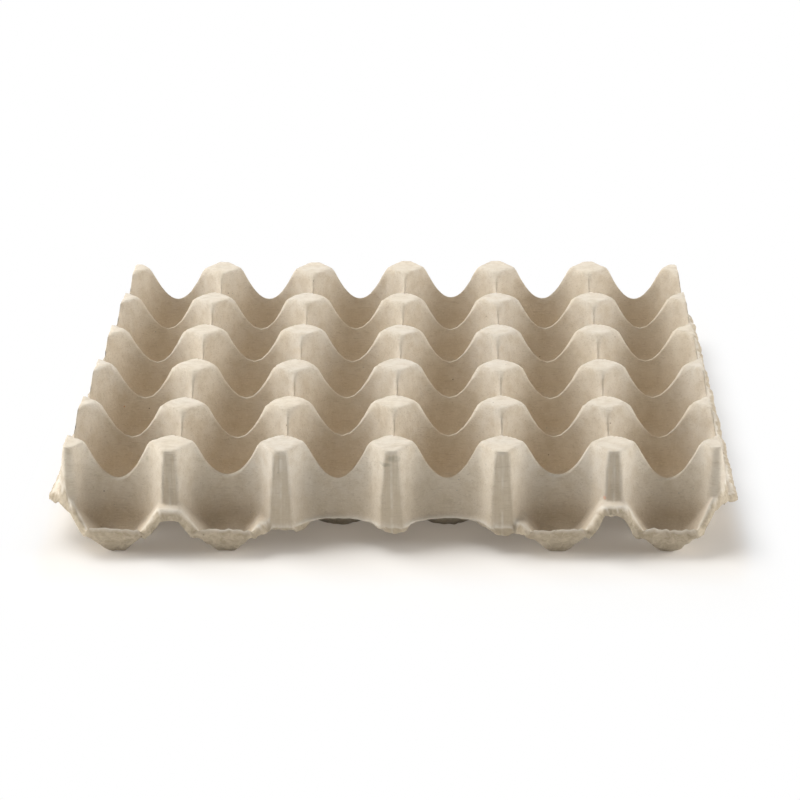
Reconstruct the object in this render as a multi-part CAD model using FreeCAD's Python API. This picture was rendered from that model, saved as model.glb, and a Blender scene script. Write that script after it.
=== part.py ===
import FreeCAD, Part
import math
import os
from FreeCAD import Vector

# Egg tray moulded from pulp as one sheet: 6 by 5 tapered cups with diamond topped posts between them.
# Origin at the middle of the tray, on the surface that the cups stand on. X runs along the six cups.
# One quarter is modelled, the corner at low X and low Y, and mirrored twice.

# Layout of the cups
COLUMNS = 6
ROWS = 5
PITCH_X = 48.0
PITCH_Y = 51.0

# Sheet, and the heights of its upper face
WALL = 1.8
HEIGHT = 45.0
LEDGE_Z = 21.4
LIP_Z = 13.9
ARCH_Z = 11.5

# Cup, from its flat floor to the tops of the posts. A reach is a distance from the cup's axis.
FLOOR_REACH = 11.0
BOWL_KNEE_REACH = 16.5
BOWL_KNEE_Z = 5.5
BOWL_TOP_Z = 12.0
CUP_TOP_REACH_X = 28.1
CUP_TOP_REACH_Y = 29.1
CUP_SLOPE = 0.217
POST_FACE_REACH = 27.5
POST_FACE_END_Z = 25.5
FACETS = 16

# Edge hollows, which repeat the cups' shape outside the outermost grid lines
HOLLOW_FACETS = (-67.5, -45.0, -22.5, 0.0, 22.5, 45.0, 67.5)
HOLLOW_POST_FACES = (-57.0, 57.0)
HOLLOW_POST_FACE_REACH = 25.9
HOLLOW_POST_FACE_SLOPE = 0.135

# Outer walls of the edge posts, measured outwards from the outermost grid lines
FRONT_STRIP_TOP = 11.2
SIDE_STRIP_TOP = -1.3
STRIP_SLOPE = 0.14

# Corner posts: a shallower front, and a face turned from the side towards the front
CORNER_FRONT_TOP = 7.0
CORNER_FACE_TURN = 30.0
CORNER_FACE_TOP = 1.5
CORNER_FACE_SLOPE = 0.1

# Ledge and trimmed outline, measured outwards from the outermost grid lines
LEDGE_START = 1.0
FRONT_MARGIN = 22.5
SIDE_MARGIN = 7.5
CORNER_CUT_X = 19.6
ARCH_MARGIN = 16.5
ARCH_START = 0.5

# Pockets with a foot, in the front and back ledges, outside the cups nearest to a corner
POCKET_COLUMNS = 2
POCKET_LEDGE_HALF = 5.15
POCKET_LIP_HALF = 10.2
FOOT_INNER = 11.5
FOOT_OUTER = 15.0
POCKET_INNER_SLOPE = 0.95

# Room past the faces of a solid, so that what cuts it passes right through
SPARE = 10.0

GRID_X = COLUMNS * PITCH_X / 2
GRID_Y = ROWS * PITCH_Y / 2
HALF_LENGTH = GRID_X + SIDE_MARGIN
HALF_DEPTH = GRID_Y + FRONT_MARGIN


def polyhedron(rings):
    """Closed solid through stacked rings with equal counts of points, lowest ring first."""
    faces = []
    for lower, upper in zip(rings, rings[1:]):
        for i in range(len(lower)):
            j = (i + 1) % len(lower)
            quad = [lower[i], lower[j], upper[j], upper[i], lower[i]]
            faces.append(Part.Face(Part.makePolygon(quad)))
    for ring in (rings[0][::-1], rings[-1]):
        faces.append(Part.Face(Part.makePolygon(ring + ring[:1])))
    solid = Part.Solid(Part.Shell(faces))
    if solid.Volume < 0:
        solid.reverse()
    return solid


def prism(corners, low, high):
    """Upright solid over a plan outline given as (x, y) corners."""
    return polyhedron([[Vector(x, y, z) for x, y in corners] for z in (low, high)])


def facet_ring(centre, angles, reaches, z):
    """Corners of the level polygon whose sides face the given angles at the given reaches."""
    points = []
    for i in range(len(angles)):
        j = (i + 1) % len(angles)
        ax, ay = math.cos(angles[i]), math.sin(angles[i])
        bx, by = math.cos(angles[j]), math.sin(angles[j])
        turn = ax * by - ay * bx
        x = (reaches[i] * by - reaches[j] * ay) / turn
        y = (ax * reaches[j] - bx * reaches[i]) / turn
        points.append(Vector(centre[0] + x, centre[1] + y, z))
    return points


def leaning(wall, slope):
    """Level distance across a sheet of this thickness, where its face leans by the slope."""
    return wall * math.hypot(1.0, slope)


def cup_centre(column, row):
    return ((column + 0.5) * PITCH_X - GRID_X, (row + 0.5) * PITCH_Y - GRID_Y)


def widened(profile, wall):
    """Profile of (reach, z) points, moved outwards by the wall square to its floor and runs."""
    normals = [(0.0, -1.0)]
    for (r0, z0), (r1, z1) in zip(profile, profile[1:]):
        run = math.hypot(r1 - r0, z1 - z0)
        normals.append(((z1 - z0) / run, (r0 - r1) / run))
    moved = []
    for (ar, az), (br, bz), (r, z) in zip(normals, normals[1:], profile):
        share = wall / (1.0 + ar * br + az * bz)
        moved.append((r + (ar + br) * share, z + (az + bz) * share))
    last_r, last_z = profile[-1]
    moved.append((last_r + wall / normals[-1][0], last_z))
    return moved


def cup_reach(angle, z):
    """Reach of a cup's tapered wall in one direction, a little longer along Y than along X."""
    top = math.hypot(CUP_TOP_REACH_X * math.cos(angle), CUP_TOP_REACH_Y * math.sin(angle))
    return top - CUP_SLOPE * (HEIGHT - z)


def post_flats(centre, wall):
    """Four flats that face the posts around a cup: they cut its wall back towards the top."""
    angles = [math.pi / 4 + i * math.pi / 2 for i in range(4)]
    start = cup_reach(angles[0], POST_FACE_END_Z)
    slope = (POST_FACE_REACH - start) / (HEIGHT - POST_FACE_END_Z)
    rings = []
    for z in (-SPARE, HEIGHT + SPARE):
        reach = start + slope * (z - POST_FACE_END_Z) + leaning(wall, slope)
        rings.append(facet_ring(centre, angles, [reach] * 4, z))
    return polyhedron(rings)


def cup(column, row, wall):
    """Hollow of one cup: flat floor, bowl of two runs, tapered wall and flats facing the posts."""
    centre = cup_centre(column, row)
    angles = [2 * math.pi * i / FACETS for i in range(FACETS)]
    levels = (BOWL_TOP_Z, HEIGHT + SPARE)
    mean = [sum(cup_reach(angle, z) for angle in angles) / FACETS for z in levels]
    profile = [(FLOOR_REACH, WALL), (BOWL_KNEE_REACH, BOWL_KNEE_Z)] + list(zip(mean, levels))
    rings = []
    for (reach, z), (far, low) in zip(profile, widened(profile, wall)):
        exact = [cup_reach(angle, z) if z in levels else reach for angle in angles]
        rings.append(facet_ring(centre, angles, [far - reach + own for own in exact], low))
    return polyhedron(rings).common(post_flats(centre, wall))


def open_hollow(centre, inward, turns, reach, slope, wall):
    """Hollow with leaning facets at the given turns from one direction, open on the far side."""
    angles = [inward + math.radians(turn) for turn in turns]
    angles += [inward + math.pi / 2, inward + math.pi, inward - math.pi / 2]
    rings = []
    for z in (-SPARE, HEIGHT + SPARE):
        near = reach - slope * (HEIGHT - z) + leaning(wall, slope)
        reaches = [near] * len(turns) + [PITCH_X, SPARE, PITCH_X]
        rings.append(facet_ring(centre, angles, reaches, z))
    return polyhedron(rings)


def edge_hollow(column, row, inward, top_reach, wall):
    """Hollow outside an edge cup: half of a cup's cone, with two flats facing the edge posts."""
    centre = cup_centre(column, row)
    cone = open_hollow(centre, inward, HOLLOW_FACETS, top_reach, CUP_SLOPE, wall)
    flats = open_hollow(centre, inward, HOLLOW_POST_FACES, HOLLOW_POST_FACE_REACH,
                        HOLLOW_POST_FACE_SLOPE, wall)
    return cone.common(flats)


def pocket_trough(column, wall):
    """Hollow that a pocket cuts in the ledge: sloping on all four sides down to its foot."""
    middle = cup_centre(column, 0)[0]
    side_slope = (POCKET_LIP_HALF - POCKET_LEDGE_HALF) / (LEDGE_Z - LIP_Z)
    outer_slope = (FRONT_MARGIN - FOOT_OUTER) / (LIP_Z - WALL)
    rings = []
    for z in (WALL - wall, LEDGE_Z + SPARE):
        half = PITCH_X / 2 - POCKET_LEDGE_HALF - side_slope * (LEDGE_Z - z) + leaning(wall, side_slope)
        inner = FOOT_INNER - POCKET_INNER_SLOPE * (z - WALL) - leaning(wall, POCKET_INNER_SLOPE)
        outer = FOOT_OUTER + outer_slope * (z - WALL) + leaning(wall, outer_slope)
        corners = [(-half, outer), (half, outer), (half, inner), (-half, inner)]
        rings.append([Vector(middle + x, -GRID_Y - out, z) for x, out in corners])
    return polyhedron(rings)


def block(wall):
    """Cups' block: its top is the tops of the posts, its sides lean out with the edge posts."""
    turn = math.radians(CORNER_FACE_TURN)
    corner_end = GRID_X - PITCH_X / 2
    rings = []
    for z in (-SPARE, HEIGHT - wall):
        lean = STRIP_SLOPE * (HEIGHT - z) - leaning(wall, STRIP_SLOPE)
        face = CORNER_FACE_TOP + CORNER_FACE_SLOPE * (HEIGHT - z) - leaning(wall, CORNER_FACE_SLOPE)
        side = SIDE_STRIP_TOP + lean
        corner_front = CORNER_FRONT_TOP + lean
        side_meets_face = (face - side * math.cos(turn)) / math.sin(turn)
        front_meets_face = (face - corner_front * math.sin(turn)) / math.cos(turn)
        x = GRID_X + side
        y = GRID_Y + FRONT_STRIP_TOP + lean
        corners = [
            (-x, -GRID_Y - side_meets_face),
            (-GRID_X - front_meets_face, -GRID_Y - corner_front),
            (-corner_end, -GRID_Y - corner_front),
            (-corner_end, -y),
            (0, -y),
            (0, 0),
            (-x, 0),
        ]
        rings.append([Vector(px, py, z) for px, py in corners])
    return polyhedron(rings)


def ledge(wall):
    """Ledge along the side and along the front as far as the pockets, with a lower end there."""
    side = GRID_X + LEDGE_START
    front = GRID_Y + LEDGE_START
    far_x = HALF_LENGTH + SPARE
    far_y = HALF_DEPTH + SPARE
    pocket_end = POCKET_COLUMNS * PITCH_X - GRID_X
    lip_end = pocket_end - POCKET_LIP_HALF
    top = LEDGE_Z - wall
    along_side = prism([(-far_x, -far_y), (-side, -far_y), (-side, 0), (-far_x, 0)], -SPARE, top)
    along_front = prism([(-far_x, -far_y), (lip_end, -far_y), (lip_end, -front), (-far_x, -front)],
                        -SPARE, top)
    low_end = prism([(lip_end, -far_y), (pocket_end, -far_y), (pocket_end, -front), (lip_end, -front)],
                    -SPARE, LIP_Z - wall)
    return along_side.fuse([along_front, low_end])


def quarter_body(wall):
    """Everything below the sheet's upper face, or below its lower face if the wall is given."""
    columns = range(COLUMNS // 2 + COLUMNS % 2)
    rows = range(ROWS // 2 + ROWS % 2)
    cups = [cup(column, row, wall) for column in columns for row in rows]
    fronts = [edge_hollow(column, -1, math.pi / 2, CUP_TOP_REACH_Y, wall) for column in columns]
    sides = [edge_hollow(-1, row, 0.0, CUP_TOP_REACH_X, wall) for row in rows]
    pockets = [pocket_trough(column, wall).common(fronts[column]) for column in range(POCKET_COLUMNS)]
    core = block(wall).cut(cups + fronts + sides)
    return core.fuse(ledge(wall).cut(pockets))


def outline():
    """Trimmed outline of the quarter: corner cut off, and drawn in where the arches are."""
    pocket_end = POCKET_COLUMNS * PITCH_X - GRID_X
    corners = [
        (-HALF_LENGTH, 0),
        (-HALF_LENGTH, -GRID_Y),
        (-HALF_LENGTH + CORNER_CUT_X, -HALF_DEPTH),
        (pocket_end - POCKET_LIP_HALF, -HALF_DEPTH),
        (pocket_end - POCKET_LEDGE_HALF, -GRID_Y - ARCH_MARGIN),
        (0, -GRID_Y - ARCH_MARGIN),
        (0, 0),
    ]
    return prism(corners, 0, HEIGHT)


def arches():
    """Room below the edge of the sheet, outside the cups between the pockets."""
    start = POCKET_COLUMNS * PITCH_X - GRID_X
    near = -GRID_Y - ARCH_START
    far = -HALF_DEPTH - SPARE
    return prism([(start, far), (0, far), (0, near), (start, near)], -SPARE, ARCH_Z)


def tray():
    quarter = quarter_body(0.0).cut(quarter_body(WALL)).common(outline()).cut(arches())
    half = quarter.fuse(quarter.mirror(Vector(0, 0, 0), Vector(1, 0, 0)))
    whole = half.fuse(half.mirror(Vector(0, 0, 0), Vector(0, 1, 0)))
    return whole.removeSplitter()


os.makedirs("parts", exist_ok=True)
shape = tray()
print("solids", len(shape.Solids), "faces", len(shape.Faces), "valid", shape.isValid())
print("volume", round(shape.Volume), "box", shape.BoundBox)
shape.Solids[0].exportStep("parts/tray.step")
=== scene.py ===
from math import cos, pi, radians, sin

import bpy
import numpy as np
from mathutils import Matrix, Vector


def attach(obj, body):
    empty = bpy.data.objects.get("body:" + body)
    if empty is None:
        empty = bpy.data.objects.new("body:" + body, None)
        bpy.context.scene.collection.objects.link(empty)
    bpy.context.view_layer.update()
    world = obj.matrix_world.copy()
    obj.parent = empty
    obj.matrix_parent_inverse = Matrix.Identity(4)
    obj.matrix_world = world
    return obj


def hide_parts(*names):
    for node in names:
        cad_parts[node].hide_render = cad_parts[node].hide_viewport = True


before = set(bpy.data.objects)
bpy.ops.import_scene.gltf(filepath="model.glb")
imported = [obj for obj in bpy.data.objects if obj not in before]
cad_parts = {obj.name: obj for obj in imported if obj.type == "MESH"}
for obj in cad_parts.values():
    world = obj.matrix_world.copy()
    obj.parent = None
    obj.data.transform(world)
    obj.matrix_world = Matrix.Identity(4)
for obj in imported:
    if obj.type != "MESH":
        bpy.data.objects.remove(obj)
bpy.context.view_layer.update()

# Driving dimensions of the tray, the same as the CAD solid's, in millimetres
PITCH_X, PITCH_Y = 48.0, 51.0
COLUMNS, ROWS = 6, 5
GRID_X, GRID_Y = COLUMNS * PITCH_X / 2, ROWS * PITCH_Y / 2
WALL = 1.8
HEIGHT = 45.0
LEDGE_Z = 21.4
LIP_Z = 13.9
ARCH_Z = 11.5
FLOOR_REACH = 11.0
BOWL_KNEE_REACH, BOWL_KNEE_Z = 16.5, 5.5
BOWL_TOP_Z = 12.0
CUP_TOP_REACH_X, CUP_TOP_REACH_Y = 28.1, 29.1
CUP_SLOPE = 0.217
POST_FACE_REACH, POST_FACE_SLOPE = 27.5, 0.16
HOLLOW_FACE_TURN = radians(57.0)
HOLLOW_FACE_REACH, HOLLOW_FACE_SLOPE = 25.9, 0.135
FRONT_STRIP_TOP, SIDE_STRIP_TOP = 11.2, -1.3
STRIP_SLOPE = 0.14
CORNER_FRONT_TOP = 7.0
CORNER_FACE_TURN = radians(30.0)
CORNER_FACE_TOP, CORNER_FACE_SLOPE = 1.5, 0.1
LEDGE_START = 1.0
FRONT_MARGIN, SIDE_MARGIN = 22.5, 7.5
CORNER_CUT_X = 19.6
ARCH_MARGIN = 16.5
POCKET_END = 48.0
POCKET_LEDGE_HALF, POCKET_LIP_HALF = 5.15, 10.2
LOW_END = POCKET_END + POCKET_LEDGE_HALF
FOOT_INNER, FOOT_OUTER = 11.5, 15.0
POCKET_INNER_SLOPE = 0.95
FOOT_HALF = 3.0

# Mesh of the sheet: points along a cup's side, inside and at the edge, and steps along each run
SIDE_POINTS = 18
EDGE_POINTS = 36
POST_DENSITY = 0.3
TOP_STEPS = 16
UNDER_STEPS = 11
MARGIN_STEPS = 34
EVENING_PASSES = 5
CORNER_RAYS = 10
SAMPLES = 260
BEND_DENSITY = 4.0
ROUNDING = 0.5
RELAXING = 0.22

# Wear of the rim: how ragged it is, from waves of (share, length, seed), and how far it is turned down
RAGGED, RAGGED_MEAN, RAGGED_SPREAD = 1.5, 0.35, 0.4
RAGGED_WAVES = [(0.55, 3.2, 3), (0.5, 8.0, 4), (0.7, 21.0, 5)]
TURN_START, TURN_FADE, FLANK_FADE = 11.0, 3.0, 2.0
TURN_SPREAD, TURNED, SIDE_TURN_CURVE = 0.3, 0.3, 1.5
SIDE_TURN_DOWN, SIDE_TURN_WIDTH = 2.8, 3.2
FRONT_TURN_DOWN, FRONT_TURN_WIDTH, FLANK_TURN_WIDTH = 3.4, 0.7, 2.4

# Flaps of torn pulp that hang below the front: middle, half width and depth
FLAPS = [(-39.5, 3.4, 4.0), (-47.5, 6.5, 1.7), (2.0, 6.0, 3.4), (-7.0, 4.5, 1.0), (49.0, 6.0, 4.4),
         (41.5, 4.0, 2.2)]
FLAP_LEAST, FLAP_END, FLAP_SPREAD = 0.6, 2.0, 0.6
BEAD_OUT, BEAD_HALF, BEAD_SPREAD = 1.5, 0.9, 0.3

# Front ledge at the right: higher than the rest, with the start and width of each fade
HIGH_LEDGE_START, HIGH_LEDGE_END, HIGH_LEDGE_RISE = 76.0, 88.0, 1.8
HIGH_LEDGE_OUT, HIGH_LEDGE_TOP, HIGH_LEDGE_BASE = (2.0, 6.0), (28.0, 5.0), (10.0, 9.0)

# Front faces of the edge posts: sunk a little between their two arrises, narrower near the corners
STRIP_SUNK, ARRIS_OUT = 0.6, 0.3
STRIP_HALF_TOP, STRIP_HALF_SLOPE = 2.5, 0.075
STRIP_TOP_Z, STRIP_TOP_FADE, STRIP_EDGE = 43.5, 1.5, 0.5
STRIP_OUT_START, STRIP_OUT_FADE = 8.0, 2.0
ARRIS_HALF, ARRIS_TOP_FADE, ARRIS_BASE_FADE = 0.6, 3.0, 4.0
NARROW_START, NARROW_SHARE = 72.0, 0.75

# Uneven moulding: the wavelengths and the depths of its waves, above and below
WARP_LENGTH, WARP_DEPTH, LIFT_LENGTH = 75.0, 0.5, 105.0
LUMP_LENGTH, LUMP_DEPTH, LUMP_LEAN = 9.0, 0.12, 0.6
UNDER_LUMP_LENGTH, UNDER_LUMP_DEPTH, UNDER_LUMP_LEAN = 5.5, 0.3, 0.9
HIGH_SADDLE_X, HIGH_SADDLE_RISE, HIGH_SADDLE_WIDTH, HIGH_SADDLE_Z = 72.0, 1.8, 9.0, 12.0

# Camera, fitted to the tops of the posts: metres and degrees, focal length in pixels
CAMERA_PLACE = (0.0335, -1.1988, 0.4576)
CAMERA_ELEVATION = 20.153
CAMERA_AZIMUTH = -1.593
CAMERA_ROLL = -0.554
FOCAL_PIXELS = 2641.2
FRAME_PIXELS = 800.0
SENSOR = 36.0
CLIP_END = 10.0

# Lamps: place and size in metres, power in watts
LAMPS = [((-0.9, 0.5, 1.6), 1.5, 33.0), ((-1.5, -0.15, 0.45), 0.8, 11.0), ((1.5, -0.15, 0.5), 0.9, 16.0)]
WORLD_LIGHT = 0.19

# Floor: how far past the tray its shade fades to white, in metres, and the warm painted light that lifts
# the shadow near the tray
FLOOR_HALF, FLOOR_Z = 3.0, -0.0003
FLOOR_COLOUR = (0.92, 0.91, 0.89, 1.0)
# Warm tint of the painted light that lifts the shadow near the tray
FLOOR_PAINTED_LIGHT_TINT = (1.0, 0.86, 0.71, 1.0)
# The lift is the share of warm painted light that the camera sees in the shadow next to the tray
FLOOR_FADE_START, FLOOR_FADE_END, FLOOR_LIFT = 0.0, 0.085, 0.2
FLOOR_SIDE_FADE = 3.0
WHITE = (1.0, 1.0, 1.0, 1.0)

# Pulp: its tones, specks as (spacing, radius, share, tone), stains as (middle, radii, strength, tone)
TONE_WARM = (0.78, 0.69, 0.555, 1.0)
TONE_COOL = (0.74, 0.67, 0.565, 1.0)
# Painted shade: a darker brown that the pulp is blended towards low on the tray
TONE_LOW_PAINTED_SHADE = (0.56, 0.445, 0.31, 1.0)
TONE_DARK = (0.59, 0.485, 0.345, 1.0)
TONE_PALE = (0.84, 0.76, 0.63, 1.0)
TONE_FIBRE = (0.46, 0.37, 0.26, 1.0)
TONE_UNDER = (0.65, 0.555, 0.415, 1.0)
TONE_UNDER_DARK = (0.44, 0.355, 0.24, 1.0)
# Pale tone: a painted highlight along the rims' crests, and the fine line down the posts' fronts
TONE_RIM_HIGHLIGHT_AND_LINE = (0.87, 0.81, 0.71, 1.0)
# Painted shade on the posts' front faces
TONE_STRIP_PAINTED_SHADE = (0.58, 0.475, 0.335, 1.0)
BROWN, GREY, OCHRE = (0.20, 0.13, 0.08, 1.0), (0.24, 0.25, 0.23, 1.0), (0.62, 0.27, 0.12, 1.0)
SPECKS = [(9.0, 0.45, 0.4, BROWN), (6.0, 0.3, 0.35, GREY), (21.0, 0.55, 0.3, OCHRE)]
OLIVE_GREY, OLIVE, ORANGE = (0.34, 0.30, 0.21, 1.0), (0.45, 0.41, 0.27, 1.0), (0.85, 0.33, 0.16, 1.0)
STAINS = [((1.2, -140.0, 41.2), (3.6, 6.0, 1.9), 0.5, OLIVE_GREY),
          ((-3.8, -140.0, 38.6), (4.4, 6.0, 1.0), 0.5, OLIVE_GREY),
          ((-107.0, -135.0, 38.0), (1.4, 8.0, 2.2), 0.45, OLIVE),
          ((-33.1, -139.0, 25.8), (0.7, 8.0, 0.7), 0.7, BROWN),
          ((92.1, -142.0, 24.6), (0.8, 6.0, 0.8), 0.7, ORANGE)]
FIBRE_TURNS = [((0.0, 0.0, 0.4), 3.0), ((0.3, 0.8, 1.7), 11.0), ((1.2, 0.2, 2.6), 23.0)]
FIBRE_SCALE, FIBRE_CUT = (0.16, 1.5, 1.5), (0.60, 0.70)
CLOUD_SIZE, MOTTLE_SIZE, GRAIN_SIZE, FELT_SIZE = 38.0, 5.0, 0.9, 3.0
SPECK_CORE, SPECK_STRENGTH, SPOT_EDGE = 0.4, 0.75, (1.15, 0.55)

# Painted shade on the posts' front faces, and their fine pale line: fades across, outwards, below the top,
# and of the fine line
STRIP_SOFT, STRIP_NEAR, STRIP_FAR, STRIP_DROP = (-0.3, 0.5), (9.0, 10.5), (17.0, 16.0), (0.8, 2.6)
LINE_SOFT, LINE_BREAK_SIZE, LINE_BREAK = (0.8, 0.2), 7.0, (0.4, 0.6, 0.2, 1.0)
STREAK_SCALE, STREAK_RANGE, LINE_STRENGTH = (1.0, 0.2, 0.06), (0.3, 0.65, 0.15, 0.5), 0.35

# Pulp's relief and sheen
BUMP_DEPTH = 0.16
GRAIN_RELIEF, MOTTLE_RELIEF, FIBRE_RELIEF, LINE_RELIEF, FELT_RELIEF = 0.35, 0.8, 0.25, 0.8, 2.6
ROUGHNESS, SPECULAR, SHEEN, SHEEN_ROUGHNESS = 0.92, 0.25, 0.15, 0.6

MM = 0.001
WAVES = 7
NUDGE = 0.000137
RIM_WIDTH = 1.3


# Height of the sheet's two faces

def leaning(wall, slope):
    """Level distance across the sheet where its face leans by the slope."""
    return wall * np.hypot(1.0, slope)


def wall_height(reach, slope, distance, wall):
    """Height at which a leaning wall passes a distance, where its reach is given at the posts' tops."""
    return HEIGHT - (reach + leaning(wall, slope) - distance) / slope


def outer_height(top, slope, distance, wall):
    """Height of a wall that faces outwards and leans out below its top."""
    return HEIGHT - (distance - top + leaning(wall, slope)) / slope


def run_height(start, z, slope, distance, wall):
    """Height of a run of the bowl that rises from a start."""
    return z + (distance - start) * slope - wall * np.hypot(1.0, slope)


def cup_height(u, v, wall):
    """Height of a cup's inside at an offset from its axis."""
    rho = np.hypot(u, v)
    turn = np.arctan2(v, u)
    reach = np.hypot(CUP_TOP_REACH_X * np.cos(turn), CUP_TOP_REACH_Y * np.sin(turn))
    mean = (CUP_TOP_REACH_X + CUP_TOP_REACH_Y) / 2
    bowl_top = mean - CUP_SLOPE * (HEIGHT - BOWL_TOP_Z)
    knee_slope = (BOWL_KNEE_Z - WALL) / (BOWL_KNEE_REACH - FLOOR_REACH)
    top_slope = (BOWL_TOP_Z - BOWL_KNEE_Z) / (bowl_top - BOWL_KNEE_REACH)
    towards_post = (np.abs(u) + np.abs(v)) / np.sqrt(2.0)
    return np.maximum.reduce([
        np.full_like(rho, WALL - wall),
        run_height(FLOOR_REACH, WALL, knee_slope, rho, wall),
        run_height(BOWL_KNEE_REACH, BOWL_KNEE_Z, top_slope, rho, wall),
        wall_height(reach, CUP_SLOPE, rho, wall),
        wall_height(POST_FACE_REACH, POST_FACE_SLOPE, towards_post, wall),
    ])


def hollow_height(along, out, reach, wall):
    """Height of a hollow outside an edge cup, at an offset along the edge and from its far axis."""
    flats = np.abs(along) * sin(HOLLOW_FACE_TURN) + out * cos(HOLLOW_FACE_TURN)
    return np.maximum(wall_height(reach, CUP_SLOPE, np.hypot(along, out), wall),
                      wall_height(HOLLOW_FACE_REACH, HOLLOW_FACE_SLOPE, flats, wall))


def trough_height(u, d, wall):
    """Height of a pocket's trough in the front ledge."""
    side = (POCKET_LIP_HALF - POCKET_LEDGE_HALF) / (LEDGE_Z - LIP_Z)
    outer = (FRONT_MARGIN - FOOT_OUTER) / (LIP_Z - WALL)
    half = PITCH_X / 2 - POCKET_LEDGE_HALF
    lip_half = PITCH_X / 2 - POCKET_LIP_HALF
    foot = (lip_half - FOOT_HALF) / (LIP_Z - WALL)
    return np.maximum.reduce([
        np.full_like(u, WALL - wall),
        LIP_Z - (lip_half + leaning(wall, foot) - np.abs(u)) / foot,
        LEDGE_Z - (half + leaning(wall, side) - np.abs(u)) / side,
        WALL + (FOOT_INNER - leaning(wall, POCKET_INNER_SLOPE) - d) / POCKET_INNER_SLOPE,
        WALL + (d - FOOT_OUTER - leaning(wall, outer)) / outer,
    ])


def height(x, y, wall):
    """Height of the sheet's upper face, or of its lower face where the wall is given."""
    ax, ay = np.abs(x), np.abs(y)
    e, d = ax - GRID_X, ay - GRID_Y
    u = np.where(e < 0, np.mod(ax, PITCH_X) - PITCH_X / 2, e + PITCH_X / 2)
    v = np.where(d < 0, np.mod(ay + PITCH_Y / 2, PITCH_Y) - PITCH_Y / 2, d + PITCH_Y / 2)
    front = hollow_height(u, PITCH_Y / 2 - d, CUP_TOP_REACH_Y, wall)
    side = hollow_height(v, PITCH_X / 2 - e, CUP_TOP_REACH_X, wall)
    front_top = np.where(ax > GRID_X - PITCH_X / 2, CORNER_FRONT_TOP, FRONT_STRIP_TOP)
    turned = e * cos(CORNER_FACE_TURN) + d * sin(CORNER_FACE_TURN)
    posts = np.minimum.reduce([
        np.full_like(ax, HEIGHT - wall),
        outer_height(front_top, STRIP_SLOPE, d, wall),
        outer_height(SIDE_STRIP_TOP, STRIP_SLOPE, e, wall),
        outer_height(CORNER_FACE_TOP, CORNER_FACE_SLOPE, turned, wall),
        cup_height(u, v, wall),
        front,
        side,
    ])
    low_end = ax < POCKET_END + POCKET_LIP_HALF
    ledge = np.where(low_end, LIP_Z, LEDGE_Z) - wall
    ledge = np.minimum(ledge, np.maximum(front, trough_height(u, d, wall)))
    ledge = np.where((d > LEDGE_START) & (ax > LOW_END), ledge, -HEIGHT)
    ledge = np.where(e > LEDGE_START, LEDGE_Z - wall, ledge)
    return np.maximum(posts, ledge)


# Runs of points across the sheet

def even(run, count):
    """Points at equal steps along a polyline of two coordinates."""
    steps = np.hypot(*np.diff(run, axis=0).T)
    along = np.concatenate(([0.0], np.cumsum(steps)))
    target = np.linspace(0.0, along[-1], count)
    return np.column_stack([np.interp(target, along, axis) for axis in run.T])


def rounded(run):
    """Polyline with its bends rounded. Past each end it goes on as in a mirror."""
    run = even(run, SAMPLES)
    step = np.hypot(*(run[1] - run[0]))
    width = max(int(3 * ROUNDING / max(step, 1e-6)), 1)
    width = min(width, SAMPLES - 1)
    kernel = np.exp(-0.5 * (np.arange(-width, width + 1) * step / ROUNDING) ** 2)
    kernel /= kernel.sum()
    out = np.pad(run[:, 0], width, mode="reflect", reflect_type="odd")
    up = np.pad(run[:, 1], width, mode="reflect")
    return np.column_stack([np.convolve(axis, kernel, mode="valid") for axis in (out, up)])


def spaced(run, count):
    """The given count of steps along a polyline, closer together at its bends."""
    moves = np.diff(run, axis=0)
    lengths = np.hypot(*moves.T)
    turns = np.abs(np.diff(np.unwrap(np.arctan2(moves[:, 1], moves[:, 0]))))
    bends = np.concatenate(([0.0], turns)) + np.concatenate((turns, [0.0]))
    along = np.concatenate(([0.0], np.cumsum(lengths + BEND_DENSITY * bends / 2)))
    target = np.linspace(0.0, along[-1], count + 1)
    return np.column_stack([np.interp(target, along, axis) for axis in run.T])


def side_places(half, count):
    """Places along one side of a cup, in the given count of steps, closer together towards the posts."""
    t = np.linspace(-1.0, 1.0, count + 1)
    return half * t * (1.0 + POST_DENSITY * (1.0 - t * t))


def waves(x, y, length, seed):
    """Smooth unevenness between about -1 and 1, from waves in random directions."""
    draw = np.random.default_rng(seed)
    total = np.zeros_like(x)
    for _ in range(WAVES):
        turn, phase = draw.uniform(0.0, 2 * pi, 2)
        rate = 2 * pi / (length * draw.uniform(0.7, 1.6))
        total += np.sin((x * cos(turn) + y * sin(turn)) * rate + phase)
    return total / np.sqrt(2.0 * WAVES)


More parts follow.
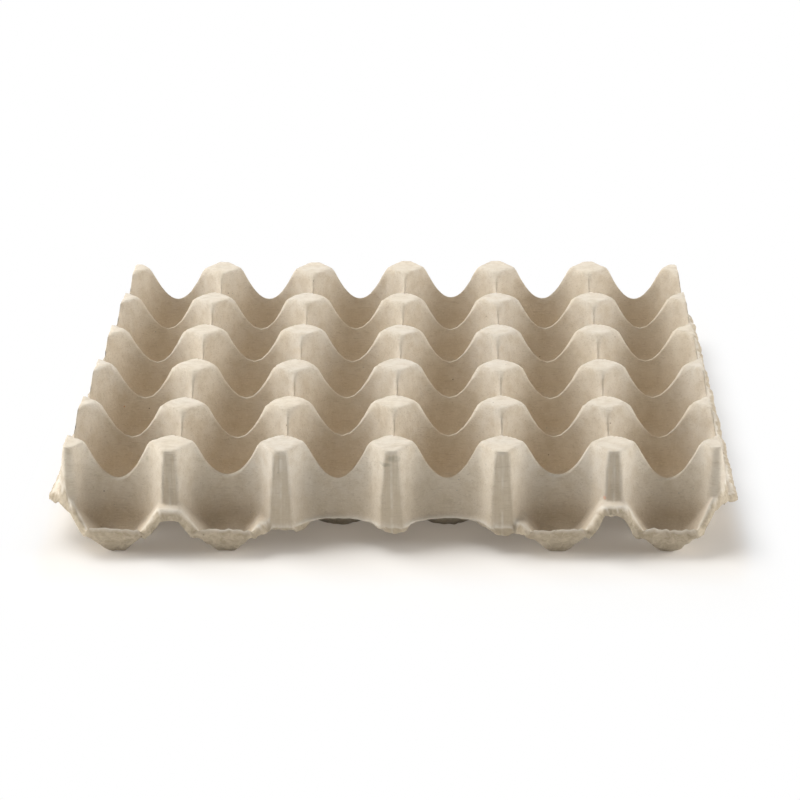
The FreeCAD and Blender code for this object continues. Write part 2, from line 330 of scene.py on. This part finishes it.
class Sheet:
    """Patches of points that share their borders, with how much of a point is rim or underside."""

    def __init__(self):
        self.points, self.borders, self.marks, self.quads, self.count = [], [], [], [], 0

    def grid(self, rows, borders, marks, flip):
        """Quads over rows of points. Borders give each column's face of the sheet, or -1 inside."""
        rows = np.array(rows)
        lines, across = rows.shape[:2]
        self.points.append(rows.reshape(-1, 3))
        self.borders.append(np.tile(borders, lines))
        self.marks.append(np.array(marks).reshape(-1, 2))
        i, j = np.meshgrid(np.arange(lines - 1), np.arange(across - 1), indexing="ij")
        a = self.count + i * across + j
        quads = np.stack([a, a + 1, a + across + 1, a + across], axis=-1).reshape(-1, 4)
        self.quads.append(quads[:, ::-1] if flip else quads)
        self.count += lines * across

    def merged(self):
        """Points, marks and faces, after the patches meet at the mean of their border heights."""
        points, borders = np.concatenate(self.points), np.concatenate(self.borders)
        shared = np.nonzero(borders >= 0)[0]
        keys = np.column_stack([np.round(points[shared, :2] + NUDGE, 3), borders[shared]])
        group = np.unique(keys, axis=0, return_inverse=True)[1].reshape(-1)
        points[shared, 2] = (np.bincount(group, points[shared, 2]) / np.bincount(group))[group]
        keys = np.round(points + NUDGE, 3)
        first, group = np.unique(keys, axis=0, return_index=True, return_inverse=True)[1:]
        faces = []
        for quad in group.reshape(-1)[np.concatenate(self.quads)].tolist():
            face = [p for k, p in enumerate(quad) if p != quad[k - 1]]
            if len(face) > 2:
                faces.append(face)
        return points[first], np.concatenate(self.marks)[first], faces


def cup_places():
    """Middles of all cups."""
    for column in range(COLUMNS):
        for row in range(ROWS):
            yield (column + 0.5) * PITCH_X - GRID_X, (row + 0.5) * PITCH_Y - GRID_Y


def cup_face(sheet, cx, cy, wall, steps):
    """One face of the sheet in a cup, as rays from its axis to its border, with steps that agree."""
    half_x, half_y = PITCH_X / 2, PITCH_Y / 2
    front, back = [side_places(half_x, EDGE_POINTS if sign * cy > GRID_Y - PITCH_Y else SIDE_POINTS)
                   for sign in (-1, 1)]
    left, right = [side_places(half_y, EDGE_POINTS if sign * cx > GRID_X - PITCH_X else SIDE_POINTS)
                   for sign in (-1, 1)]
    loop = [(x, -half_y) for x in front[:-1]] + [(half_x, y) for y in right[:-1]]
    loop += [(x, half_y) for x in back[:0:-1]] + [(-half_x, y) for y in left[:0:-1]]
    t = np.linspace(0.0, 1.0, SAMPLES)
    runs = [rounded(np.column_stack([np.hypot(u, v) * t, height(cx + u * t, cy + v * t, wall)]))
            for u, v in loop]
    shares = np.array([spaced(run, steps)[:, 0] / run[-1, 0] for run in runs])
    for _ in range(EVENING_PASSES):
        shares = (np.roll(shares, 1, axis=0) + 2.0 * shares + np.roll(shares, -1, axis=0)) / 4.0
    rows = []
    for (u, v), run, share in zip(loop, runs, shares):
        z = np.interp(share * run[-1, 0], run[:, 0], run[:, 1])
        rows.append(np.column_stack([cx + u * share, cy + v * share, z]))
    rows.append(rows[0])
    layer = int(wall > 0)
    marks = np.tile([0.0, layer], (len(rows) * (steps + 1), 1))
    sheet.grid(rows, [layer] + [-1] * (steps - 1) + [layer], marks, wall > 0)


def turn_down(x, y, out, end):
    """How far the ledge's outer part is turned down, at a distance out of its end."""
    u = np.abs(np.mod(np.abs(x), PITCH_X) - PITCH_X / 2)
    on_ledge = np.clip((u - TURN_START) / TURN_FADE, 0.0, 1.0) * (np.abs(x) > LOW_END)
    flank_end = PITCH_X / 2 - POCKET_LEDGE_HALF + FLANK_FADE / 2
    flank = np.clip((flank_end - u) / FLANK_FADE, 0.0, 1.0)
    width = FRONT_TURN_WIDTH + (FLANK_TURN_WIDTH - FRONT_TURN_WIDTH) * flank
    past_side = np.clip((np.abs(x) - GRID_X) / SIDE_MARGIN * 2.0, 0.0, 1.0)
    past_front = np.clip((np.abs(y) - GRID_Y) / FRONT_MARGIN * 2.0, 0.0, 1.0)
    side = np.clip((out - end + SIDE_TURN_WIDTH) / SIDE_TURN_WIDTH, 0.0, 1.0)
    side = SIDE_TURN_DOWN * side ** SIDE_TURN_CURVE
    front = FRONT_TURN_DOWN * np.clip((out - end + width) / width, 0.0, 1.0)
    return np.maximum(side * past_side, front * past_front * on_ledge)


def bead_height(x, ragged):
    """Height of the bead along an arch's rim, or far below it where there is no arch."""
    return ARCH_Z + BEAD_SPREAD * ragged if abs(x) < LOW_END else -HEIGHT


def flap_depth(x, y, ragged):
    """How far the torn edge hangs below the bead of an arch."""
    if y > 0:
        return FLAP_LEAST
    flaps = max(depth * np.exp(-((x - middle) / half) ** 4) for middle, half, depth in FLAPS)
    return max(flaps + FLAP_SPREAD * ragged, FLAP_LEAST)


def margin_run(place, direction, end):
    """Loop of the sheet outside an edge point: out on the upper face, over the rim and back below."""
    rim_x = np.array([place[0] + direction[0] * end])
    rim_y = np.array([place[1] + direction[1] * end])
    ragged = sum(share * waves(rim_x, rim_y, length, seed)[0]
                 for share, length, seed in RAGGED_WAVES)
    bead = bead_height(place[0], ragged) if direction[0] == 0 else -HEIGHT
    torn = RAGGED * min(max(RAGGED_MEAN + RAGGED_SPREAD * ragged, 0.0), 1.0)
    end += FLAP_END if bead > 0 else -torn
    low = bead - flap_depth(place[0], place[1], ragged)
    out = end * np.linspace(0.0, 1.0, SAMPLES)
    x, y = place[0] + direction[0] * out, place[1] + direction[1] * out
    down = turn_down(x, y, out, end) * (1.0 + TURN_SPREAD * ragged)
    faces = []
    for wall in (0.0, WALL):
        run = np.column_stack([out, height(x, y, wall) - down])
        below = np.nonzero(run[:, 1] < low)[0]
        if len(below):
            k = below[0]
            share = (run[k - 1, 1] - low) / (run[k - 1, 1] - run[k, 1])
            run = np.vstack([run[:k], run[k - 1] + (run[k] - run[k - 1]) * share])
            run[:, 0] += BEAD_OUT * np.exp(-((run[:, 1] - bead) / BEAD_HALF) ** 2) * (wall == 0)
        faces.append(run)
    top = faces[0]
    last = len(top) - 1
    turned = np.argmax(down[:last + 1] > TURNED) if down[last] > TURNED else last
    crest = top[np.argmin(np.abs(top[:, 1] - bead))] if bead > 0 else top[turned]
    loop = spaced(rounded(np.vstack([top, faces[1][::-1]])), MARGIN_STEPS)
    away = np.hypot(*(loop - crest).T)
    past = (np.arange(len(loop)) > np.argmin(away)) & (away > RIM_WIDTH / 2)
    marks = np.column_stack([np.exp(-(away / RIM_WIDTH) ** 2), past])
    points = np.column_stack([place[0] + direction[0] * loop[:, 0],
                              place[1] + direction[1] * loop[:, 0], loop[:, 1]])
    return points, marks


def front_end(ax):
    """How far the sheet reaches past the front grid line."""
    past_arch = (ax - LOW_END) / (POCKET_LIP_HALF - POCKET_LEDGE_HALF)
    arch = ARCH_MARGIN + (FRONT_MARGIN - ARCH_MARGIN) * min(max(past_arch, 0.0), 1.0)
    cut = FRONT_MARGIN * (GRID_X + SIDE_MARGIN - ax) / CORNER_CUT_X
    return min(arch, cut)


def edge_places(count, pitch):
    """Places of all points along one edge of the cups."""
    middles = (np.arange(count) + 0.5) * pitch - count * pitch / 2
    places = [middle + side_places(pitch / 2, EDGE_POINTS)[1:] for middle in middles]
    return np.concatenate([[-count * pitch / 2]] + places)


def margin_patch(sheet, rays, flip):
    """Patch of the sheet outside the cups, from one loop for each ray."""
    rows, marks = zip(*[margin_run(*ray) for ray in rays])
    sheet.grid(rows, [0] + [-1] * (MARGIN_STEPS - 1) + [1], marks, flip)


def margins(sheet):
    """The sheet outside the cups: front and back, both sides and the four cut corners."""
    for sign in (-1, 1):
        margin_patch(sheet, [((x, sign * GRID_Y), (0.0, sign), front_end(abs(x)))
                             for x in edge_places(COLUMNS, PITCH_X)], sign > 0)
        margin_patch(sheet, [((sign * GRID_X, y), (sign, 0.0), SIDE_MARGIN)
                             for y in edge_places(ROWS, PITCH_Y)], sign < 0)
    for sign_x in (-1, 1):
        for sign_y in (-1, 1):
            rays = []
            for turn in np.linspace(0.0, pi / 2, CORNER_RAYS + 1):
                across, out = cos(turn), sin(turn)
                end = SIDE_MARGIN / (across + out * CORNER_CUT_X / FRONT_MARGIN)
                rays.append(((sign_x * GRID_X, sign_y * GRID_Y),
                             (sign_x * across, sign_y * out), end))
            margin_patch(sheet, rays, sign_x * sign_y < 0)


def neighbours_mean(points, edges):
    """Mean place of the points joined to each point."""
    total = np.bincount(edges.reshape(-1), minlength=len(points))
    mean = np.empty_like(points)
    for axis in range(3):
        mean[:, axis] = (np.bincount(edges[:, 0], points[edges[:, 1], axis], len(points))
                         + np.bincount(edges[:, 1], points[edges[:, 0], axis], len(points)))
    return mean / total[:, None]


def uneven(points, under, normals):
    """The sheet with the unevenness of hand filled moulds: warped, lumpy and rougher below."""
    x, y, z = points.T
    rise = z / HEIGHT
    moved = points.copy()
    for axis, seed in ((0, 11), (1, 12)):
        moved[:, axis] += WARP_DEPTH * waves(x, y, WARP_LENGTH, seed) * rise
    lift = WARP_DEPTH * waves(x, y, LIFT_LENGTH, 13) * np.minimum(rise * 2.0, 1.0)
    saddle = np.exp(-(((np.abs(x) - HIGH_SADDLE_X) / HIGH_SADDLE_WIDTH) ** 2
                      + ((y + GRID_Y) / HIGH_SADDLE_WIDTH) ** 2))
    lift += HIGH_SADDLE_RISE * saddle * np.clip((z - HIGH_SADDLE_Z) / HIGH_SADDLE_Z, 0.0, 1.0)
    moved[:, 2] += lift
    from_post = np.abs(np.mod(np.abs(x) + PITCH_X / 2, PITCH_X) - PITCH_X / 2)
    half = STRIP_HALF_TOP + STRIP_HALF_SLOPE * (HEIGHT - z)
    half *= np.where(np.abs(x) > NARROW_START, NARROW_SHARE, 1.0)
    on_post = np.clip((np.abs(y) - GRID_Y - STRIP_OUT_START) / STRIP_OUT_FADE, 0.0, 1.0)
    on_post = on_post * (np.abs(x) < GRID_X - PITCH_X / 2)
    below_top = STRIP_TOP_Z - z
    strip = np.clip((half - from_post) / STRIP_EDGE, 0.0, 1.0)
    strip *= np.clip(below_top / STRIP_TOP_FADE, 0.0, 1.0)
    strip *= on_post
    strip *= np.where(np.abs(x) < NARROW_START, 1.0, np.clip(z - LEDGE_Z - 1.0, 0.0, 1.0))
    arris = np.exp(-((from_post - half - STRIP_EDGE) / ARRIS_HALF) ** 2)
    arris *= np.clip(below_top / ARRIS_TOP_FADE, 0.0, 1.0)
    arris *= on_post
    arris *= np.clip((z - LIP_Z) / ARRIS_BASE_FADE, 0.0, 1.0)
    moved[:, 1] -= np.sign(y) * (STRIP_SUNK * strip - ARRIS_OUT * arris)
    high = np.clip((x - HIGH_LEDGE_START) / (HIGH_LEDGE_END - HIGH_LEDGE_START), 0.0, 1.0)
    high *= np.clip((-y - GRID_Y - HIGH_LEDGE_OUT[0]) / HIGH_LEDGE_OUT[1], 0.0, 1.0)
    high *= np.clip((HIGH_LEDGE_TOP[0] - z) / HIGH_LEDGE_TOP[1], 0.0, 1.0)
    high *= np.clip((z - HIGH_LEDGE_BASE[0]) / HIGH_LEDGE_BASE[1], 0.0, 1.0)
    moved[:, 2] += HIGH_LEDGE_RISE * high
    lumps = LUMP_DEPTH * waves(x + z, y + LUMP_LEAN * z, LUMP_LENGTH, 14)
    felt = UNDER_LUMP_DEPTH * waves(x + UNDER_LUMP_LEAN * z, y - z, UNDER_LUMP_LENGTH, 15)
    depth = np.where(under > 0.5, felt, lumps)
    moved += normals * depth[:, None]
    moved[:, 2] = np.clip(moved[:, 2], 0.0, HEIGHT)
    moved[:, 0] = np.clip(moved[:, 0], -GRID_X - SIDE_MARGIN, GRID_X + SIDE_MARGIN)
    moved[:, 1] = np.clip(moved[:, 1], -GRID_Y - FRONT_MARGIN, GRID_Y + FRONT_MARGIN)
    return moved


def tray_mesh():
    """Mesh of the whole tray, in metres, with its marks of rim and underside."""
    sheet = Sheet()
    for cx, cy in cup_places():
        cup_face(sheet, cx, cy, 0.0, TOP_STEPS)
        cup_face(sheet, cx, cy, WALL, UNDER_STEPS)
    margins(sheet)
    points, marks, faces = sheet.merged()
    mesh = bpy.data.meshes.new("egg_tray")
    mesh.from_pydata(points.tolist(), [], faces)
    edges = np.empty(len(mesh.edges) * 2, dtype=np.int32)
    mesh.edges.foreach_get("vertices", edges)
    edges = edges.reshape(-1, 2)
    points += RELAXING * (neighbours_mean(points, edges) - points)
    points[:, 2] -= points[:, 2].min()
    mesh.vertices.foreach_set("co", points.reshape(-1))
    mesh.update()
    normals = np.empty(len(points) * 3, dtype=np.float32)
    mesh.vertex_normals.foreach_get("vector", normals)
    points = uneven(points, marks[:, 1], normals.reshape(-1, 3))
    mesh.vertices.foreach_set("co", (points * MM).reshape(-1))
    for name, values in zip(("rim", "under"), marks.T):
        mesh.attributes.new(name, "FLOAT", "POINT").data.foreach_set("value", values)
    mesh.shade_smooth()
    mesh.update()
    print("tray mesh:", len(points), "points,", sum(len(face) - 2 for face in faces), "triangles")
    return mesh


def make_tray():
    """The tray, riding on its body in place of its node."""
    mesh = tray_mesh()
    tray = bpy.data.objects.new("egg_tray", mesh)
    bpy.context.scene.collection.objects.link(tray)
    mesh.materials.append(pulp_material())
    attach(tray, "root")
    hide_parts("tray")


# Material

class Graph:
    """Short hand for adding linked nodes to a node tree."""

    def __init__(self, tree):
        self.nodes, self.links = tree.nodes, tree.links

    def node(self, kind, values=(), **settings):
        node = self.nodes.new(kind)
        for name, value in settings.items():
            setattr(node, name, value)
        for key, value in dict(values).items():
            self.put(node.inputs[key], value)
        return node

    def put(self, socket, value):
        if isinstance(value, bpy.types.NodeSocket):
            self.links.new(value, socket)
        else:
            socket.default_value = value

    def maths(self, operation, a, b=0.0, c=0.0, clamp=False):
        node = self.node("ShaderNodeMath", {0: a, 1: b, 2: c}, operation=operation)
        node.use_clamp = clamp
        return node.outputs[0]

    def ramp(self, value, low, high, from_value=0.0, to_value=1.0):
        """Smooth step of a value between low and high."""
        node = self.node("ShaderNodeMapRange", {"Value": value, "From Min": low, "From Max": high,
                                                "To Min": from_value, "To Max": to_value},
                         interpolation_type="SMOOTHSTEP")
        return node.outputs["Result"]

    def noise(self, place, scale, detail=3.0, roughness=0.55, distortion=0.0):
        node = self.node("ShaderNodeTexNoise", {"Vector": place, "Scale": scale, "Detail": detail,
                                                "Roughness": roughness, "Distortion": distortion})
        return node.outputs["Fac"]

    def stretched(self, place, turn, scale):
        """Place turned and squeezed, so that a texture read there shows long streaks."""
        node = self.node("ShaderNodeMapping", {"Vector": place, "Rotation": turn, "Scale": scale})
        return node.outputs["Vector"]

    def blend(self, factor, a, b, kind="MIX"):
        node = self.node("ShaderNodeMix", data_type="RGBA", blend_type=kind)
        self.put(node.inputs["Factor"], factor)
        self.put(node.inputs["A"], a)
        self.put(node.inputs["B"], b)
        return node.outputs["Result"]


def fibres(graph, place):
    """Thin pale and dark fibres that lie in several directions."""
    total = None
    for turn, seed in FIBRE_TURNS:
        shifted = graph.node("ShaderNodeVectorMath", {0: place, 1: (seed, seed * 0.7, 0.0)},
                             operation="ADD").outputs[0]
        streak = graph.stretched(shifted, turn, FIBRE_SCALE)
        value = graph.noise(streak, 1.0, 2.0, 0.5, 0.6)
        line = graph.ramp(value, *FIBRE_CUT)
        total = line if total is None else graph.maths("MAXIMUM", total, line)
    return total


def specks(graph, place, spacing, radius, share):
    """Sparse round specks: one in each of a share of the cells of a Voronoi pattern."""
    cells = graph.node("ShaderNodeTexVoronoi", {"Vector": place, "Scale": 1.0 / spacing,
                                                "Randomness": 1.0})
    near = graph.ramp(cells.outputs["Distance"], radius / spacing, SPECK_CORE * radius / spacing)
    pick = graph.node("ShaderNodeSeparateColor", {"Color": cells.outputs["Color"]}).outputs[0]
    chosen = graph.maths("GREATER_THAN", pick, 1.0 - share)
    return graph.maths("MULTIPLY", near, chosen)


def spot(graph, place, middle, radii):
    """1 inside an ellipsoid around a place on the tray, falling softly to 0 outside it."""
    offset = graph.node("ShaderNodeVectorMath", {0: place, 1: middle}, operation="SUBTRACT").outputs[0]
    scaled = graph.node("ShaderNodeVectorMath", {0: offset, 1: radii}, operation="DIVIDE").outputs[0]
    reach = graph.node("ShaderNodeVectorMath", {0: scaled}, operation="LENGTH").outputs["Value"]
    return graph.ramp(reach, *SPOT_EDGE)


def strip_mask(graph, place):
    """The front faces of the edge posts, which get painted shade, and the fine line down their middles."""
    x, y, z = graph.node("ShaderNodeSeparateXYZ", {0: place}).outputs
    size = graph.maths("ABSOLUTE", x)
    shifted = graph.maths("ADD", size, PITCH_X / 2)
    folded = graph.maths("SUBTRACT", graph.maths("MODULO", shifted, PITCH_X), PITCH_X / 2)
    from_post = graph.maths("ABSOLUTE", folded)
    drop = graph.maths("SUBTRACT", HEIGHT, z)
    half = graph.maths("MULTIPLY_ADD", drop, STRIP_HALF_SLOPE, STRIP_HALF_TOP)
    narrow = graph.ramp(size, NARROW_START, NARROW_START + 1.0, 1.0, NARROW_SHARE)
    half = graph.maths("MULTIPLY", half, narrow)
    inside = graph.ramp(graph.maths("SUBTRACT", half, from_post), *STRIP_SOFT)
    out = graph.maths("SUBTRACT", graph.maths("ABSOLUTE", y), GRID_Y)
    near = graph.maths("MULTIPLY", graph.ramp(out, *STRIP_NEAR), graph.ramp(out, *STRIP_FAR))
    below_top = graph.ramp(drop, *STRIP_DROP)
    mask = graph.maths("MULTIPLY", inside, graph.maths("MULTIPLY", near, below_top))
    broken = graph.ramp(graph.noise(place, 1.0 / LINE_BREAK_SIZE, 2.0), *LINE_BREAK)
    line = graph.maths("MULTIPLY", graph.maths("MULTIPLY", mask, broken), graph.ramp(from_post, *LINE_SOFT))
    return mask, line


def pulp_material():
    """Grey beige pulp: smooth with fine fibres above, rough and greyer below and at its torn rims, with
    painted shade low down and on the posts' fronts and a painted highlight along the rims' crests.
    """
    material = bpy.data.materials.new("pulp")
    material.use_nodes = True
    graph = Graph(material.node_tree)
    shader = graph.nodes["Principled BSDF"]
    local = graph.node("ShaderNodeTexCoord").outputs["Object"]
    place = graph.node("ShaderNodeVectorMath", {0: local, "Scale": 1.0 / MM}, operation="SCALE").outputs[0]
    rim = graph.node("ShaderNodeAttribute", attribute_name="rim").outputs["Fac"]
    under = graph.node("ShaderNodeAttribute", attribute_name="under").outputs["Fac"]

    cloud = graph.noise(place, 1.0 / CLOUD_SIZE, 2.0)
    mottle = graph.noise(place, 1.0 / MOTTLE_SIZE, 4.0, 0.6)
    grain = graph.noise(place, 1.0 / GRAIN_SIZE, 3.0, 0.6)
    felt = graph.noise(place, 1.0 / FELT_SIZE, 5.0, 0.65, 0.8)
    fibre = fibres(graph, place)

    colour = graph.blend(graph.ramp(cloud, 0.3, 0.7), TONE_COOL, TONE_WARM)
    up = graph.node("ShaderNodeSeparateXYZ", {0: place}).outputs[2]
    # Painted shade: darker towards the bottom, from 40 mm down to 8 mm above the floor
    colour = graph.blend(graph.ramp(up, 40.0, 8.0, 0.0, 0.6), colour, TONE_LOW_PAINTED_SHADE)
    colour = graph.blend(graph.ramp(mottle, 0.35, 0.75, 0.0, 0.55), colour, TONE_DARK)
    colour = graph.blend(graph.ramp(grain, 0.45, 0.8, 0.0, 0.35), colour, TONE_PALE)
    colour = graph.blend(graph.maths("MULTIPLY", fibre, 0.30), colour, TONE_FIBRE)
    rough_side = graph.maths("MAXIMUM", under, graph.maths("MULTIPLY", rim, 0.3), clamp=True)
    shaded = graph.blend(graph.ramp(felt, 0.3, 0.7), TONE_UNDER_DARK, TONE_UNDER)
    colour = graph.blend(graph.maths("MULTIPLY", rough_side, 0.85), colour, shaded)
    # Painted highlight: a pale band along each rim's crest on the upper face, broken up by the mottle
    rim_highlight = graph.maths("MULTIPLY", rim, graph.maths("SUBTRACT", 1.0, under, clamp=True))
    rim_highlight = graph.maths("MULTIPLY", rim_highlight, graph.ramp(mottle, 0.3, 0.6, 0.9, 0.55))
    colour = graph.blend(rim_highlight, colour, TONE_RIM_HIGHLIGHT_AND_LINE)
    strip, line = strip_mask(graph, place)
    # Painted shade: the posts' front faces darkened in streaks, for the shade on faces turned to the front
    streaks = graph.noise(graph.stretched(place, (0.0, 0.0, 0.0), STREAK_SCALE), 1.0, 3.0)
    painted_strip_shade = graph.maths("MULTIPLY", strip, graph.ramp(streaks, *STREAK_RANGE))
    colour = graph.blend(painted_strip_shade, colour, TONE_STRIP_PAINTED_SHADE)
    colour = graph.blend(graph.maths("MULTIPLY", line, LINE_STRENGTH), colour, TONE_RIM_HIGHLIGHT_AND_LINE)
    for spacing, radius, share, tone in SPECKS:
        dots = specks(graph, place, spacing, radius, share)
        colour = graph.blend(graph.maths("MULTIPLY", dots, SPECK_STRENGTH), colour, tone)
    for middle, radii, strength, tone in STAINS:
        patch = graph.maths("MULTIPLY", spot(graph, place, middle, radii),
                            graph.ramp(mottle, 0.35, 0.6, 0.35, 1.0))
        colour = graph.blend(graph.maths("MULTIPLY", patch, strength), colour, tone)
    graph.put(shader.inputs["Base Color"], colour)
    shader.inputs["Roughness"].default_value = ROUGHNESS
    shader.inputs["Specular IOR Level"].default_value = SPECULAR
    shader.inputs["Sheen Weight"].default_value = SHEEN
    shader.inputs["Sheen Roughness"].default_value = SHEEN_ROUGHNESS

    smooth = graph.maths("MULTIPLY_ADD", grain, GRAIN_RELIEF,
                         graph.maths("MULTIPLY", mottle, MOTTLE_RELIEF))
    smooth = graph.maths("MULTIPLY_ADD", fibre, FIBRE_RELIEF, smooth)
    smooth = graph.maths("MULTIPLY_ADD", line, LINE_RELIEF, smooth)
    rough = graph.maths("MULTIPLY_ADD", felt, FELT_RELIEF, smooth)
    relief = graph.node("ShaderNodeMix", {"Factor": rough_side, "A": smooth, "B": rough},
                        data_type="FLOAT").outputs["Result"]
    bump = graph.node("ShaderNodeBump", {"Height": relief, "Distance": BUMP_DEPTH * MM,
                                         "Strength": 1.0})
    graph.put(shader.inputs["Normal"], bump.outputs["Normal"])
    return material


# Room, lamps and camera

def floor_material():
    """Pale floor with the tray's shadow, lifted near the tray by a warm painted light, which the camera
    sees fade to plain white past the tray.
    """
    material = bpy.data.materials.new("floor")
    material.use_nodes = True
    graph = Graph(material.node_tree)
    shader = graph.nodes["Principled BSDF"]
    shader.inputs["Base Color"].default_value = FLOOR_COLOUR
    shader.inputs["Roughness"].default_value = 1.0
    shader.inputs["Specular IOR Level"].default_value = 0.0
    local = graph.node("ShaderNodeTexCoord").outputs["Object"]
    size = graph.node("ShaderNodeVectorMath", {0: local}, operation="ABSOLUTE").outputs[0]
    x, y = graph.node("ShaderNodeSeparateXYZ", {0: size}).outputs[:2]
    past_x = graph.maths("MAXIMUM", graph.maths("SUBTRACT", x, GRID_X * MM), 0.0)
    past_x = graph.maths("MULTIPLY", past_x, FLOOR_SIDE_FADE)
    past_y = graph.maths("MAXIMUM", graph.maths("SUBTRACT", y, (GRID_Y + FOOT_OUTER) * MM), 0.0)
    past = graph.maths("SQRT", graph.maths("MULTIPLY_ADD", past_x, past_x,
                                           graph.maths("MULTIPLY", past_y, past_y)))
    far = graph.ramp(past, FLOOR_FADE_START, FLOOR_FADE_END, FLOOR_LIFT, 1.0)
    # Painted light: near the tray the camera sees a warm glow mixed into the shadow, fading to plain white
    # further out
    painted_light_tint = graph.blend(graph.ramp(past, FLOOR_FADE_START, FLOOR_FADE_END / 2), FLOOR_PAINTED_LIGHT_TINT, WHITE)
    painted_floor_light = graph.node("ShaderNodeEmission", {"Color": painted_light_tint, "Strength": 1.0})
    path = graph.node("ShaderNodeLightPath").outputs
    seen = graph.maths("MAXIMUM", path["Is Camera Ray"],
                       graph.maths("MAXIMUM", path["Is Glossy Ray"], path["Is Transmission Ray"]))
    mix = graph.node("ShaderNodeMixShader", {0: graph.maths("MULTIPLY", far, seen),
                                             1: shader.outputs[0], 2: painted_floor_light.outputs[0]})
    graph.put(graph.nodes["Material Output"].inputs["Surface"], mix.outputs[0])
    return material


def make_room():
    """Floor, white world and lamps."""
    mesh = bpy.data.meshes.new("floor")
    half = FLOOR_HALF
    mesh.from_pydata([(-half, -half, 0), (half, -half, 0), (half, half, 0), (-half, half, 0)], [],
                     [(0, 1, 2, 3)])
    mesh.materials.append(floor_material())
    floor = bpy.data.objects.new("floor", mesh)
    floor.location.z = FLOOR_Z
    bpy.context.scene.collection.objects.link(floor)
    world = bpy.data.worlds.new("world")
    bpy.context.scene.world = world
    world.use_nodes = True
    graph = Graph(world.node_tree)
    background = graph.nodes["Background"]
    path = graph.node("ShaderNodeLightPath").outputs
    seen = graph.maths("MAXIMUM", path["Is Camera Ray"],
                       graph.maths("MAXIMUM", path["Is Glossy Ray"], path["Is Transmission Ray"]))
    background.inputs["Color"].default_value = WHITE
    graph.put(background.inputs["Strength"], graph.ramp(seen, 0.0, 1.0, WORLD_LIGHT, 1.0))
    for place, size, energy in LAMPS:
        data = bpy.data.lights.new("lamp", "AREA")
        data.energy, data.size = energy, size
        lamp = bpy.data.objects.new("lamp", data)
        lamp.location = place
        lamp.rotation_euler = (-Vector(place)).to_track_quat("-Z", "Y").to_euler()
        bpy.context.scene.collection.objects.link(lamp)


def make_camera():
    """Camera at the photograph's view."""
    el, az, roll = radians(CAMERA_ELEVATION), radians(CAMERA_AZIMUTH), radians(CAMERA_ROLL)
    forward = Vector((sin(az) * cos(el), cos(az) * cos(el), -sin(el)))
    right = Vector((cos(az), -sin(az), 0.0))
    up = right.cross(forward)
    side = right * cos(roll) + up * sin(roll)
    top = up * cos(roll) - right * sin(roll)
    data = bpy.data.cameras.new("camera")
    data.sensor_fit = "HORIZONTAL"
    data.sensor_width = SENSOR
    data.lens = FOCAL_PIXELS * SENSOR / FRAME_PIXELS
    data.clip_end = CLIP_END
    camera = bpy.data.objects.new("camera", data)
    turn = Matrix((side, top, -forward)).transposed().to_4x4()
    camera.matrix_world = Matrix.Translation(CAMERA_PLACE) @ turn
    bpy.context.scene.collection.objects.link(camera)
    bpy.context.scene.camera = camera


make_tray()
make_room()
make_camera()
bpy.context.scene.view_settings.view_transform = "Standard"
